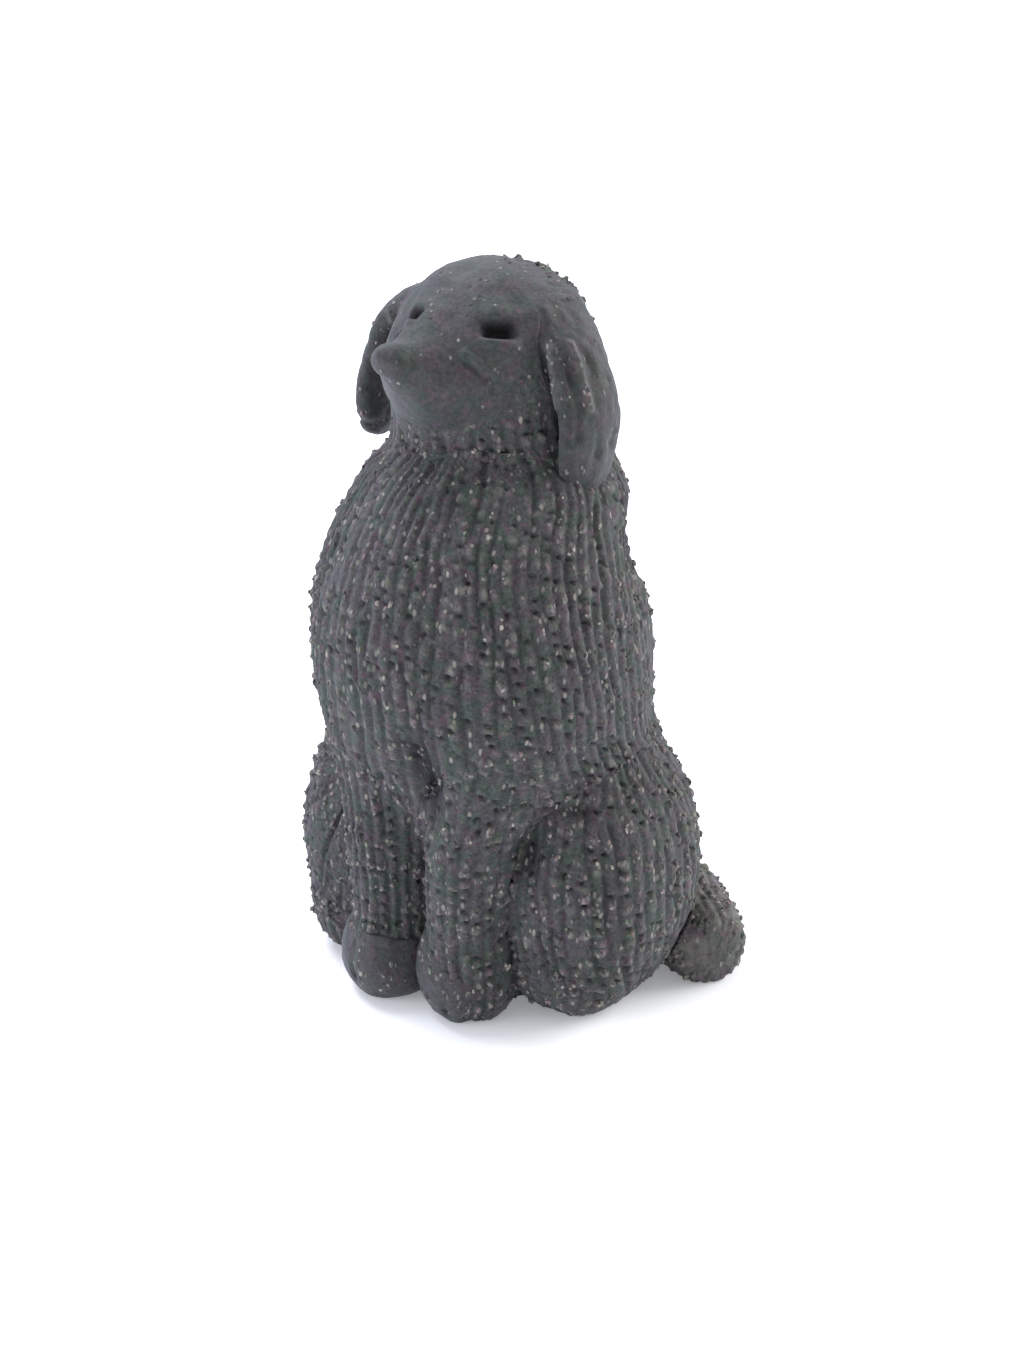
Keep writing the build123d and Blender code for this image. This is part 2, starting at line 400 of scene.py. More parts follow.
def comb(surface, clay, seed, gap=1.0, wander=1.0, lean=0.0):
    """Clay combed with a toothed tool, from the pole down. Across the strokes the height falls by
    a bell curve into each groove. Along a groove the tool is set down again every 7 to 15 mm:
    each stroke starts at once and fades. The ridge between two grooves is broken into beads, a
    squared cosine along it and a bell across it, of random sizes, and some have torn out and left
    a pit. Where the strokes crowd towards a pole, more and more of them are left out.
    Gives the height in millimetres, how much each point is groove, bead and pit, and its bead's
    random tone."""
    surface.measure()
    pitch = clay.stroke_gap / MM * gap
    columns = surface.points.shape[1]
    count = max(int(round(surface.girth.max() / pitch)), 5)
    room = surface.step * columns / count
    sway = 0.75 * drift(surface.points, 15, seed) + 0.28 * drift(surface.points, 4.5, seed + 1)
    start = (np.arange(columns) / columns * count)[None, :]
    across = start + wander * sway + lean * surface.along / pitch
    number = np.round(across)
    groove_id = np.mod(number, count)
    aside = (across - number) * room
    length = 7 + 8 * hashed(seed + 2, groove_id)
    down = surface.along / length + 5 * hashed(seed + 3, groove_id)
    stroke = np.floor(down)
    share = down - stroke
    force = 0.4 + 0.6 * hashed(seed + 4, groove_id, stroke)
    force = force * smooth_step(0, 0.1, share) * (1 - 0.45 * share)
    force = force * np.clip(5 * (1.15 * room / pitch - hashed(seed + 5, groove_id)), 0, 1)
    groove = force * bell(aside, clay.stroke_width / MM)

    ridge = np.floor(across)
    ridge_id = np.mod(ridge, count)
    bead_length = clay.bead_length / MM
    jostle = 0.4 * drift(surface.points, 3, seed + 10)
    down = surface.along / bead_length + 11 * hashed(seed + 6, ridge_id) + jostle
    bead = np.floor(down)
    middle = down - bead - 0.5
    size = smooth_step(0.25, 1.0, hashed(seed + 7, ridge_id, bead))
    shift = 0.7 * (hashed(seed + 8, ridge_id, bead) - 0.5)
    aside = (across - ridge - 0.5) * room + shift
    width = 0.36 + 0.3 * hashed(seed + 11, ridge_id, bead)
    fit = np.clip(1.6 * room / pitch - 0.5, 0, 1)
    beads = fit * size * bell(aside, width) * np.cos(np.pi * middle) ** 2
    torn = hashed(seed + 9, ridge_id, bead) > 0.66
    pits = fit * torn * bell(aside + 0.2, 0.42) * bell((middle + 0.42) * bead_length, 0.4)
    depth, bead_height = clay.stroke_depth / MM, clay.bead_height / MM
    height = bead_height * (beads - 0.25) - depth * groove - clay.pit_depth / MM * pits
    return height, groove, beads, pits, hashed(seed + 12, ridge_id, bead)


def hand_marks(points, height, seed):
    """Uneven hand pressure: broad noise, narrower noise and a fine tooth, each about half as high
    as the one before, and soft folds that run down the piece."""
    upright = points * (1, 1, 0.6)
    broad = drift(upright, 8, seed)
    narrow = 0.45 * drift(upright, 3.4, seed + 1)
    tooth = 0.14 * drift(points, 0.9, seed + 2)
    folds = 0.8 * drift(points * (1, 1, 0.2), 4.2, seed + 3)
    return height * (broad + narrow + tooth + folds)


def press(points, spots):
    """Thumb presses and swellings: for each spot, a bell curve of the distance from its middle,
    measured in its own width, times its height, which is below zero for a press."""
    total = np.zeros(points.shape[:-1])
    for middle, width, height in spots:
        total += height * bell(np.linalg.norm((points - np.array(middle)) / width, axis=-1), 1)
    return total


def scratch_marks(points, marks):
    """Nail and needle marks: for each, a bell curve of the distance from a straight line between
    two points, times its height, which is below zero for a furrow."""
    total = np.zeros(points.shape[:-1])
    for start, end, width, height in marks:
        start, end = np.array(start, float), np.array(end, float)
        line = end - start
        share = np.clip(((points - start) @ line) / (line @ line), 0, 1)
        nearest = start + share[..., None] * line
        total += height * bell(np.linalg.norm(points - nearest, axis=-1), width)
    return total


# ---------------------------------------------------------------- meshes
def closed_faces(rows, columns):
    """Faces of a closed grid whose first and last rows are one point each: squares between the
    rows, and a fan of triangles at each pole. Point 0 is the first pole, then come the rows."""
    here = np.arange(columns)
    ahead = np.roll(here, -1)
    first = 1 + columns * np.arange(rows - 3)[:, None]
    below = first + columns
    corner_points = (first + here, below + here, below + ahead, first + ahead)
    squares = np.stack(np.broadcast_arrays(*corner_points), -1).reshape(-1, 4)
    last_row = 1 + columns * (rows - 3)
    last = last_row + columns
    top = np.stack((np.zeros_like(here), 1 + here, 1 + ahead), -1)
    bottom = np.stack((np.full_like(here, last), last_row + ahead, last_row + here), -1)
    return squares, np.vstack((top, bottom))


def by_point(values):
    """A grid's values, one for each point of its mesh: each pole's row counts once."""
    middle = values[1:-1].reshape(-1, *values.shape[2:])
    return np.concatenate((values[:1, 0], middle, values[-1:, 0]))


def make_mesh(name, points, squares, triangles, values, material):
    """Puts whole arrays of points, faces and point values into a new object's mesh."""
    sides = np.repeat((4, 3), (len(squares), len(triangles)))
    mesh = bpy.data.meshes.new(name)
    mesh.vertices.add(len(points))
    mesh.loops.add(int(sides.sum()))
    mesh.polygons.add(len(sides))
    mesh.vertices.foreach_set("co", (points * MM).astype(np.float32).ravel())
    loops = np.concatenate((squares.ravel(), triangles.ravel())).astype(np.int32)
    mesh.loops.foreach_set("vertex_index", loops)
    starts = np.concatenate(([0], np.cumsum(sides)[:-1])).astype(np.int32)
    mesh.polygons.foreach_set("loop_start", starts)
    mesh.polygons.foreach_set("use_smooth", np.ones(len(sides), bool))
    mesh.update(calc_edges=True)
    for label, numbers in values.items():
        attribute = mesh.attributes.new(label, "FLOAT", "POINT")
        attribute.data.foreach_set("value", numbers.astype(np.float32))
    if mesh.validate():
        raise RuntimeError(f"the mesh of {name} had faults")
    mesh.materials.append(material)
    made = bpy.data.objects.new(name, mesh)
    bpy.context.scene.collection.objects.link(made)
    return made


def add_skin(node, surface, masks, material):
    """Makes a worked surface into the piece that stands for a node of the frame. masks say how
    much each point is groove, bead and pit, and the tone of its bead."""
    squares, triangles = closed_faces(*surface.points.shape[:2])
    values = {label: by_point(np.clip(mask, 0, 1)) for label, mask in masks.items()}
    points = by_point(surface.points)
    piece = make_mesh(f"{node}_clay", points, squares, triangles, values, material)
    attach(piece, BODY)
    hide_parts(node)
    return piece


def add_grog(node, surface, bead, count, clay, seed, hidden_by, material):
    """Grains of grog and torn burrs. Grid points are drawn at random, more where there is a bead
    and none inside a neighbour or at the ground. Each gets a small lump of six columns and three
    rings, with every point's distance varied, laid along the stroke and half sunk in the clay."""
    grain = clay.grain_size / MM
    draw = np.random.default_rng(seed)
    surface.normals = surface.find_normals()
    shown = surface.points[..., 2] > 1.2 * grain
    for other in hidden_by:
        shown = shown & (other.reach(surface.points) > 0.15)
    surface.measure()
    weight = np.where(bead > 0, bead + 0.02, 0) * shown * surface.step
    weight[:2] = weight[-2:] = 0
    picked = draw.choice(weight.size, count, replace=False, p=weight.ravel() / weight.sum())
    spot = surface.points.reshape(-1, 3)[picked]
    out = surface.normals.reshape(-1, 3)[picked]
    down = unit(np.gradient(surface.points, axis=0)).reshape(-1, 3)[picked]
    twist = draw.normal(0, 0.35, (count, 1))
    side = np.cross(out, down)
    onward = unit(down + twist * side)
    side = np.cross(out, onward)
    rows, columns = 5, 6
    ball = by_point(Lump((0, 0, 0), (1, 1, 1)).grid(rows, columns))
    half = grain * draw.uniform((0.6, 0.5, 0.45), (1.7, 1.0, 0.9), (count, 3))
    half *= draw.uniform(0.75, 1.15, (count, 1))
    local = ball * draw.uniform(0.8, 1.15, (count, len(ball), 1)) * half[:, None]
    lifted = spot + out * half[:, 2:] * draw.uniform(-0.75, -0.3, (count, 1))
    axes = np.stack((onward, side, out), 1)
    points = lifted[:, None] + np.einsum("nki,nij->nkj", local, axes)
    points[..., 2] = np.maximum(points[..., 2], 0.02)
    squares, triangles = closed_faces(rows, columns)
    first = (len(ball) * np.arange(count))[:, None, None]
    tone = np.repeat(draw.uniform(0, 1, count), len(ball))
    squares, triangles = (squares + first).reshape(-1, 4), (triangles + first).reshape(-1, 3)
    piece = make_mesh(
        f"{node}_grog", points.reshape(-1, 3), squares, triangles, {"tone": tone}, material
    )
    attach(piece, BODY)
    return piece


# ---------------------------------------------------------------- the dog's forms
HEAD_TURN = turned((0, 3, -7))  # the head rolls and turns a little to the dog's right
HEAD_CENTRE = place("head", (0.5, 0.507, 0.463))
HEAD_RADII = (12.3, 12.5, 12.6)
SIDES = {"left": 1, "right": -1}


def on_head(points):
    """From the head's own frame, which is level and looks along -Y, to the dog's."""
    return HEAD_CENTRE + np.asarray(points, float) @ HEAD_TURN.T


def head_axes(points):
    """From the dog's frame to the head's own."""
    return (points - HEAD_CENTRE) @ HEAD_TURN


MUZZLE_PATH = (  # in the head's frame, from inside the cheeks to the tip
    (0.3, -4, -1.3), (0.6, -8.6, -0.9), (0.7, -12.5, -0.3), (0.6, -15.8, 0.6),
    (0.5, -18.1, 1.5),
)
MUZZLE_RADII = ((9.7, 8.6), (8.3, 7.0), (6.1, 5.2), (4.2, 3.5), (2.5, 1.9))
# Middle in the head's frame, and half sizes.
NOSE = ((0.5, -17.9, 2.2), (1.5, 2.0, 1.2))
TOPKNOT = ((0.5, 4.2, 5.9), (9.7, 8.3, 5.4))
# Each ear's path in the head's frame, as on the left side, then half breadth and half thickness.
EAR_PATHS = {
    "left": (
        (5.6, 1.6, 7.6), (9.8, 1.4, 6.5), (13.7, 0.9, 2.7),
        (16.6, 0.4, -3.4), (17.0, 0.1, -9.6), (16.4, 0.2, -14.6),
    ),
    "right": (
        (5.6, 0.8, 7.2), (10.4, 0.4, 6.2), (15.8, 0.4, 2.7),
        (18.0, 0.3, -3.2), (19.3, 0.1, -8.8), (20.1, 0.2, -11.6),
    ),
}
EAR_RADII = ((3.4, 1.8), (4.4, 2.2), (5.1, 2.3), (5.5, 2.3), (5.1, 2.1), (3.6, 1.6))
LEG_RADII = ((5.8, 6.1), (5.9, 6.4), (6.2, 6.7), (6.4, 7.0), (6.8, 7.4), (6.2, 6.8))
LEG_PATHS = {  # shares of each foreleg's box, from the foot up
    "left": (
        (0.38, 0.57, -0.05), (0.38, 0.55, 0.23), (0.42, 0.52, 0.47),
        (0.49, 0.52, 0.70), (0.58, 0.61, 0.93), (0.66, 0.79, 1.14),
    ),
    "right": (
        (0.54, 0.57, -0.05), (0.54, 0.55, 0.25), (0.52, 0.52, 0.50),
        (0.51, 0.52, 0.75), (0.51, 0.61, 1.00), (0.52, 0.79, 1.22),
    ),
}
# Middle as shares of the node's box, half sizes in millimetres and, for a thigh, its pole.
FOREPAWS = {
    "left": ((0.50, 0.56, 0.565), (6.4, 6.5, 6.4)),
    "right": ((0.51, 0.51, 0.54), (6.5, 7.3, 6.5)),
}
THIGHS = {
    "left": ((0.375, 0.51, 0.515), (12.9, 17.3, 20.5), (-0.15, -0.1, 1)),
    "right": ((0.605, 0.50, 0.50), (12.6, 17.5, 20.3), (0.35, -0.75, 0.55)),
}
HIND_PAWS = {
    "left": ((0.50, 0.86, 0.77), (7.7, 7.8, 6.5)),
    "right": ((0.50, 0.77, 0.68), (7.9, 8.3, 6.8)),
}
TAIL_PATH = (  # shares of the tail's box, from its root to its tip
    (0.0, 0.71, 0.42), (0.25, 0.64, 0.41), (0.49, 0.48, 0.40), (0.73, 0.29, 0.39),
    (0.91, 0.12, 0.38),
)
TAIL_RADII = ((7.6, 6.8), (8.0, 7.4), (7.8, 7.4), (7.1, 6.8), (6.0, 5.5))
NECK_PATH = ((0.515, 0.53, -0.70), (0.505, 0.51, -0.15), (0.49, 0.485, 0.42), (0.48, 0.45, 0.98))
NECK_RADII = ((13.4, 13.2), (13.5, 13.3), (13.0, 12.9), (10.6, 10.6))


def ear_form(name):
    """An ear: its path down one side of the head, as a flat roll."""
    path = np.array(EAR_PATHS[name]) * (SIDES[name], 1, 1)
    return Roll(on_head(path), EAR_RADII, HEAD_TURN @ (0, 1, 0), blunt=1.0)


def all_forms():
    """Every lump and roll of the dog, by its node's name."""
    forms = {
        "body": Egg("body"),
        "neck": Roll(place("neck", NECK_PATH), NECK_RADII, (1, 0, 0)),
        "head": Lump(HEAD_CENTRE, HEAD_RADII, (0, -1, 0), HEAD_TURN),
        "muzzle": Roll(on_head(MUZZLE_PATH), MUZZLE_RADII, HEAD_TURN @ (1, 0, 0)),
        "nose": Lump(on_head(NOSE[0]), NOSE[1], (0, -1, 0), HEAD_TURN),
        "topknot": Lump(on_head(TOPKNOT[0]), TOPKNOT[1], (0.25, -1, 0.2), HEAD_TURN),
        "tail": Roll(place("tail", TAIL_PATH), TAIL_RADII, (0, 0, 1), blunt=0.32),
    }
    for name in SIDES:
        forms[f"{name}_ear"] = ear_form(name)
        node = f"{name}_foreleg"
        forms[node] = Roll(place(node, LEG_PATHS[name]), LEG_RADII, (1, 0, 0))
        node = f"{name}_thigh"
        centre, radii, pole = THIGHS[name]
        forms[node] = Lump(place(node, centre), radii, pole)
        for kind, table in (("forepaw", FOREPAWS), ("hind_paw", HIND_PAWS)):
            node = f"{name}_{kind}"
            centre, radii = table[name]
            forms[node] = Lump(place(node, centre), radii)
    return forms


FORMS = all_forms()


def others(*pairs):
    """Neighbouring forms, each with the width of the fillet that joins it."""
    return [(FORMS[node], width) for node, width in pairs]


# ---------------------------------------------------------------- settings
def length_property(name, description, default, least):
    """A length, whose default and least value are given in millimetres."""
    return FloatProperty(
        name=name, description=description, default=default * MM, min=least * MM,
        unit="LENGTH", precision=5,
    )


def colour_property(name, description, default):
    """A colour of red, green and blue shares."""
    return FloatVectorProperty(
        name=name, description=description, default=default, size=3, min=0, max=1,
        subtype="COLOR",
    )


def angle_property(name, description, degrees):
    """An angle, whose default is given in degrees."""
    return FloatProperty(
        name=name, description=description, default=math.radians(degrees),
        subtype="ANGLE", unit="ROTATION",
    )


class ClayDogClay(bpy.types.PropertyGroup):
    """How the clay is combed, and its colours."""

    stroke_gap: length_property(
        "Stroke Gap", "Distance between neighbouring strokes of the comb", 2.05, 0.5
    )
    stroke_depth: length_property(
        "Stroke Depth", "Depth of a firm stroke", 0.6, 0
    )
    stroke_width: length_property(
        "Stroke Width", "Half width of a stroke", 0.46, 0.1
    )
    bead_length: length_property(
        "Bead Length", "Length of one bead of the ridge between two strokes", 1.7, 0.3
    )
    bead_height: length_property(
        "Bead Height", "Height of the largest beads", 0.5, 0
    )
    pit_depth: length_property(
        "Pit Depth", "Depth of the pits that torn grains leave", 0.8, 0
    )
    grain_size: length_property(
        "Grain Size", "Half width of the larger grains of grog", 0.36, 0.05
    )
    hand_depth: length_property(
        "Hand Depth", "Unevenness left by the hand", 0.3, 0
    )
    clay_colour: colour_property(
        "Clay", "Colour of the fired clay", (0.052, 0.049, 0.052)
    )
    cool_colour: colour_property(
        "Cool Clay", "Colour of the clay where the fire left it greenish", (0.038, 0.052, 0.042)
    )
    warm_colour: colour_property(
        "Warm Clay", "Colour of the clay where the fire left it plum", (0.078, 0.048, 0.064)
    )
    # Pale Grog (at 0.62), Rose Clay and Moss Clay are also the colours that bead tops are painted
    # towards: partly wear and random tone, partly painted highlight
    pale_grog: colour_property(
        "Pale Grog", "Colour of the palest grains", (0.30, 0.28, 0.245)
    )
    dark_grog: colour_property(
        "Dark Grog", "Colour of the darkest grains", (0.045, 0.045, 0.045)
    )
    rose_clay: colour_property(
        "Rose Clay", "Colour of the beads that the fire left rosy", (0.150, 0.105, 0.120)
    )
    moss_clay: colour_property(
        "Moss Clay", "Colour of the beads that the fire left greenish", (0.110, 0.130, 0.085)
    )
    seed: IntProperty(name="Seed", description="Starts every random draw", default=11, min=0)


class ClayDogStage(bpy.types.PropertyGroup):
    """Where the camera stands, and the lights."""

    azimuth: angle_property(
        "Azimuth", "Camera's turn to the dog's left of straight ahead", 35
    )
    elevation: angle_property(
        "Elevation", "Camera's angle above the ground", 20
    )
    distance: FloatProperty(
        name="Distance", description="From the camera to the point that it looks at",
        default=0.231, min=0.01, unit="LENGTH",
    )
    lens: FloatProperty(name="Lens", description="Focal length", default=46, unit="CAMERA")
    aim: FloatVectorProperty(
        name="Aim", description="Point looked at, from the middle of the frame's box",
        default=(3.4 * MM, -5.9 * MM, -4.3 * MM), size=3, subtype="XYZ", unit="LENGTH",
    )
    floor_colour: colour_property(
        "Floor", "Colour of the floor", (0.9, 0.92, 0.95)
    )
    backdrop: FloatProperty(
        name="Backdrop", description="Brightness of the plain backdrop", default=1.02, min=0
    )
    room_light: FloatProperty(
        name="Room Light", description="Strength of the even light all round", default=0.68, min=0
    )
    key_light: FloatProperty(
        name="Window Light", description="Strength of the wide light above and behind the dog",
        default=3.3, min=0,
    )
    side_light: FloatProperty(
        name="Side Light", description="Strength of the wide light on the dog's left",
        default=3.0, min=0,
    )
    wall_light: FloatProperty(
        name="Wall Light", description="Strength of the wide light on the dog's right",
        default=1.7, min=0,
    )


# ---------------------------------------------------------------- nodes
class Wiring:
    """Adds nodes to a tree. An input that is given a socket is linked to it, and any other value
    is set on it."""

    def __init__(self, tree):
        self.tree = tree

    def add(self, kind, inputs=(), **settings):
        """A node of a kind, with its settings first and then its inputs."""
        made = self.tree.nodes.new(kind)
        for name, value in settings.items():
            setattr(made, name, value)
        for name, value in dict(inputs).items():
            if isinstance(value, bpy.types.NodeSocket):
                self.tree.links.new(value, made.inputs[name])
            else:
                made.inputs[name].default_value = value
        return made

    def group(self, tree, inputs):
        """The outputs of a shader group that is placed with these inputs."""
        return self.add("ShaderNodeGroup", inputs, node_tree=tree).outputs

    def math(self, operation, first, second=0.0):
        """One sum on two numbers."""
        made = self.add("ShaderNodeMath", {0: first, 1: second}, operation=operation)
        return made.outputs[0]

    def mix(self, share, first, second, way="MIX"):
        """The first colour, with a share of the second."""
        made = self.add(
            "ShaderNodeMix", {0: share, 6: first, 7: second}, data_type="RGBA", blend_type=way
        )
        return made.outputs[2]

    def between(self, value, low, high, out_low=0.0, out_high=1.0):
        """A smooth step from one output to the other as the value goes from low to high."""
        inputs = {0: value, 1: low, 2: high, 3: out_low, 4: out_high}
        return self.add("ShaderNodeMapRange", inputs, interpolation_type="SMOOTHSTEP").outputs[0]

    def noise(self, vector, size, detail=3.0, roughness=0.55):
        """Noise whose lumps are about size metres across."""
        scale = self.math("DIVIDE", 1.0, size)
        inputs = {"Vector": vector, "Scale": scale, "Detail": detail, "Roughness": roughness}
        return self.add("ShaderNodeTexNoise", inputs).outputs[0]

    def cells(self, vector, size):
        """A Voronoi pattern whose cells are about size metres across."""
        scale = self.math("DIVIDE", 1.0, size)
        return self.add("ShaderNodeTexVoronoi", {"Vector": vector, "Scale": scale})


def shader_group(name, inputs, outputs, wire):
    """A node group with named inputs, each a kind and a default, and named outputs."""
    tree = bpy.data.node_groups.new(name, "ShaderNodeTree")
    for label, (kind, default) in inputs.items():
        socket = tree.interface.new_socket(label, in_out="INPUT", socket_type=f"NodeSocket{kind}")
        if default is not None:
            socket.default_value = default
    for label, kind in outputs.items():
        tree.interface.new_socket(label, in_out="OUTPUT", socket_type=f"NodeSocket{kind}")
    wiring = Wiring(tree)
    given = wiring.add("NodeGroupInput").outputs
    wiring.add("NodeGroupOutput", wire(wiring, given))
    return tree


def wire_mottle(wiring, given):
    """Patches of cool and of warm clay, and cloudy light and dark."""
    vector, size = given["Vector"], given["Patch Size"]
    patches = wiring.between(wiring.noise(vector, size), 0.42, 0.62)
    cool = wiring.mix(patches, given["Clay"], given["Cool"])
    shifted = wiring.add("ShaderNodeVectorMath", {0: vector, 1: (0.37, 0.11, 0.23)}).outputs[0]
    half_size = wiring.math("MULTIPLY", size, 0.45)
    spots = wiring.between(wiring.noise(shifted, half_size), 0.5, 0.72)
    warm = wiring.mix(spots, cool, given["Warm"])
    cloud = wiring.noise(vector, wiring.math("MULTIPLY", size, 0.16), 5.0, 0.65)
    level = wiring.between(cloud, 0.28, 0.72, given["Darkest"], given["Brightest"])
    grey = wiring.add("ShaderNodeCombineColor", {0: level, 1: level, 2: level}).outputs[0]
    return {"Colour": wiring.mix(1.0, warm, grey, "MULTIPLY")}


def wire_grog(wiring, given):
    """Fine grains in the clay: a random share of a cell pattern's cells, each a small disc with
    its own tone."""
    cells = wiring.cells(given["Vector"], given["Grain Size"])
    parts = wiring.add("ShaderNodeSeparateColor", {0: cells.outputs["Color"]}).outputs
    chosen = wiring.math("LESS_THAN", parts[0], given["Share"])
    disc = wiring.between(cells.outputs["Distance"], 0.2, 0.42, 1.0, 0.0)
    mask = wiring.math("MULTIPLY", chosen, disc)
    tone = wiring.mix(parts[1], given["Dark"], given["Pale"])
    return {"Colour": wiring.mix(mask, given["Clay"], tone), "Grain": mask}


SHADE = (0.42, 0.42, 0.45, 1)  # what is left of a colour in the shade of a groove
# near-black painted shade: pits, eye sockets and deep presses are painted towards it
PAINTED_SHADE_BLACK = (0.008, 0.007, 0.008, 1)


def wire_relief(wiring, given):
    """Grooves are painted with shade, pits are painted near-black as shade, and the tops of beads are
    painted paler, partly as wear and partly as painted highlight, each in its own tone.
    """
    shade = wiring.math("MULTIPLY", given["Groove"], given["Groove Shade"])
    dark = wiring.mix(1.0, given["Colour"], SHADE, "MULTIPLY")
    shaded = wiring.mix(shade, given["Colour"], dark)
    patchy = wiring.noise(given["Vector"], 1.1 * MM, 3.0, 0.6)
    # bead tops painted paler: partly wear, partly painted highlight
    patchy_wear_and_highlight = wiring.math("MULTIPLY", given["Bead"], wiring.between(patchy, 0.35, 0.65, 0.35, 1.3))
    wear_and_highlight = wiring.math("MULTIPLY", patchy_wear_and_highlight, given["Bead Wear"])
    rosy = wiring.mix(wiring.math("GREATER_THAN", given["Tone"], 0.5), given["Worn"], given["Rose"])
    tinted = wiring.mix(wiring.math("GREATER_THAN", given["Tone"], 0.78), rosy, given["Moss"])
    with_wear_and_highlight = wiring.mix(wear_and_highlight, shaded, tinted)
    with_painted_shade = wiring.mix(given["Pit"], with_wear_and_highlight, PAINTED_SHADE_BLACK)
    rough = wiring.math("SUBTRACT", given["Roughness"], wiring.math("MULTIPLY", wear_and_highlight, 0.15))
    return {"Colour": with_painted_shade, "Roughness": rough}


def wire_tooth(wiring, given):
    """Height of the clay's own tooth: fine noise less small pits."""
    fine = wiring.noise(given["Vector"], given["Tooth Size"], 4.0, 0.7)
    cells = wiring.cells(given["Vector"], wiring.math("MULTIPLY", given["Tooth Size"], 1.8))
    pit = wiring.between(cells.outputs["Distance"], 0.05, 0.35, 1.0, 0.0)
    parts = wiring.add("ShaderNodeSeparateColor", {0: cells.outputs["Color"]}).outputs
    chosen = wiring.math("GREATER_THAN", parts[2], 0.6)
    hole = wiring.math("MULTIPLY", pit, wiring.math("MULTIPLY", chosen, given["Pits"]))
    return {"Height": wiring.math("SUBTRACT", fine, hole)}


def make_groups():
    """The shader groups that the clays share."""
    grey = (0.1, 0.1, 0.1, 1)
    vector = ("Vector", None)
    return {
        "mottle": shader_group(
            "Clay Mottle",
            {
                "Vector": vector, "Clay": ("Color", grey), "Cool": ("Color", grey),
                "Warm": ("Color", grey), "Patch Size": ("Float", 0.006),
                "Darkest": ("Float", 0.55), "Brightest": ("Float", 1.5),
            },
            {"Colour": "Color"},
            wire_mottle,
        ),
        "grog": shader_group(
            "Grog Grains",
            {
                "Vector": vector, "Clay": ("Color", grey), "Pale": ("Color", grey),
                "Dark": ("Color", grey), "Grain Size": ("Float", 0.0008), "Share": ("Float", 0.2),
            },
            {"Colour": "Color", "Grain": "Float"},
            wire_grog,
        ),
        "relief": shader_group(
            "Worn Relief",
            {
                "Vector": vector, "Colour": ("Color", grey), "Worn": ("Color", grey),
                "Rose": ("Color", grey), "Moss": ("Color", grey), "Tone": ("Float", 0.0),
                "Groove": ("Float", 0.0), "Bead": ("Float", 0.0), "Pit": ("Float", 0.0),
                "Groove Shade": ("Float", 0.5), "Bead Wear": ("Float", 0.5),
                "Roughness": ("Float", 0.85),
            },
            {"Colour": "Color", "Roughness": "Float"},
            wire_relief,
        ),
        "tooth": shader_group(
            "Clay Tooth",
            {"Vector": vector, "Tooth Size": ("Float", 0.0004), "Pits": ("Float", 0.5)},
            {"Height": "Float"},
            wire_tooth,
        ),
    }


def rgba(colour, level=1.0):
    """A colour property at some brightness, as the four numbers that a socket takes."""
    return (*(channel * level for channel in colour), 1.0)


def new_finish(name):
    """The wiring of a new, empty material, and the object's own coordinates."""
    material = bpy.data.materials.new(f"{name}_finish")
    material.use_nodes = True
    material.node_tree.nodes.clear()
    wiring = Wiring(material.node_tree)
    return wiring, wiring.add("ShaderNodeTexCoord").outputs["Object"]


def end_finish(wiring, bump_inputs, shader_inputs):
    """Sends a bumped shader to the material's output."""
    normal = wiring.add("ShaderNodeBump", bump_inputs).outputs["Normal"]
    shader = wiring.add("ShaderNodeBsdfPrincipled", {**shader_inputs, "Normal": normal})
    wiring.add("ShaderNodeOutputMaterial", {"Surface": shader.outputs[0]})


def clay_material(name, clay, groups, values):
    """Unglazed clay: mottled, grained, its bead tops painted paler, partly as wear and partly as painted
    highlight, its grooves painted with shade and its pits painted near-black as shade, with a fine
    tooth. values holds what differs from one clay to another."""
    wiring, vector = new_finish(name)
    level = values["level"]
    mottle = wiring.group(groups["mottle"], {
        "Vector": vector,
        "Clay": rgba(clay.clay_colour, level),
        "Cool": rgba(clay.cool_colour, level),
        "Warm": rgba(clay.warm_colour, level),
        "Patch Size": values["patch_size"],
    })
    stretch = {0: vector, 1: (1.0, 1.0, values["stretch"])}
    grain_vector = wiring.add("ShaderNodeVectorMath", stretch, operation="MULTIPLY").outputs[0]
    grog = wiring.group(groups["grog"], {
        "Vector": grain_vector,
        "Clay": mottle["Colour"],
        "Pale": rgba(clay.pale_grog, 0.85),
        "Dark": rgba(clay.dark_grog),
        "Grain Size": values["grain_size"],
        "Share": values["grain_share"],
    })
    carried = {
        label.capitalize(): wiring.add("ShaderNodeAttribute", attribute_name=label).outputs["Fac"]
        for label in MASKS
    }
    relief = wiring.group(groups["relief"], {
        **carried,
        "Vector": grain_vector,
        "Colour": grog["Colour"],
        # colours of the paler bead tops: partly wear, partly painted highlight
        "Worn": rgba(clay.pale_grog, 0.62),
        "Rose": rgba(clay.rose_clay),
        "Moss": rgba(clay.moss_clay),
        "Groove Shade": values["groove_shade"],
        "Bead Wear": values["bead_wear"],
        "Roughness": values["roughness"],
    })
    tooth = wiring.group(groups["tooth"], {
        "Vector": vector, "Tooth Size": values["tooth_size"], "Pits": values["pits"],
    })
    height = wiring.math("ADD", tooth["Height"], grog["Grain"])
    end_finish(
        wiring,
        {"Height": height, "Distance": values["tooth_height"], "Strength": 0.8},
        {
            "Base Color": relief["Colour"],
            "Roughness": relief["Roughness"],
            "Specular IOR Level": values["gloss"],
            "Sheen Weight": values["sheen"],
            "Sheen Tint": (0.75, 0.85, 1.0, 1.0),
        },
    )


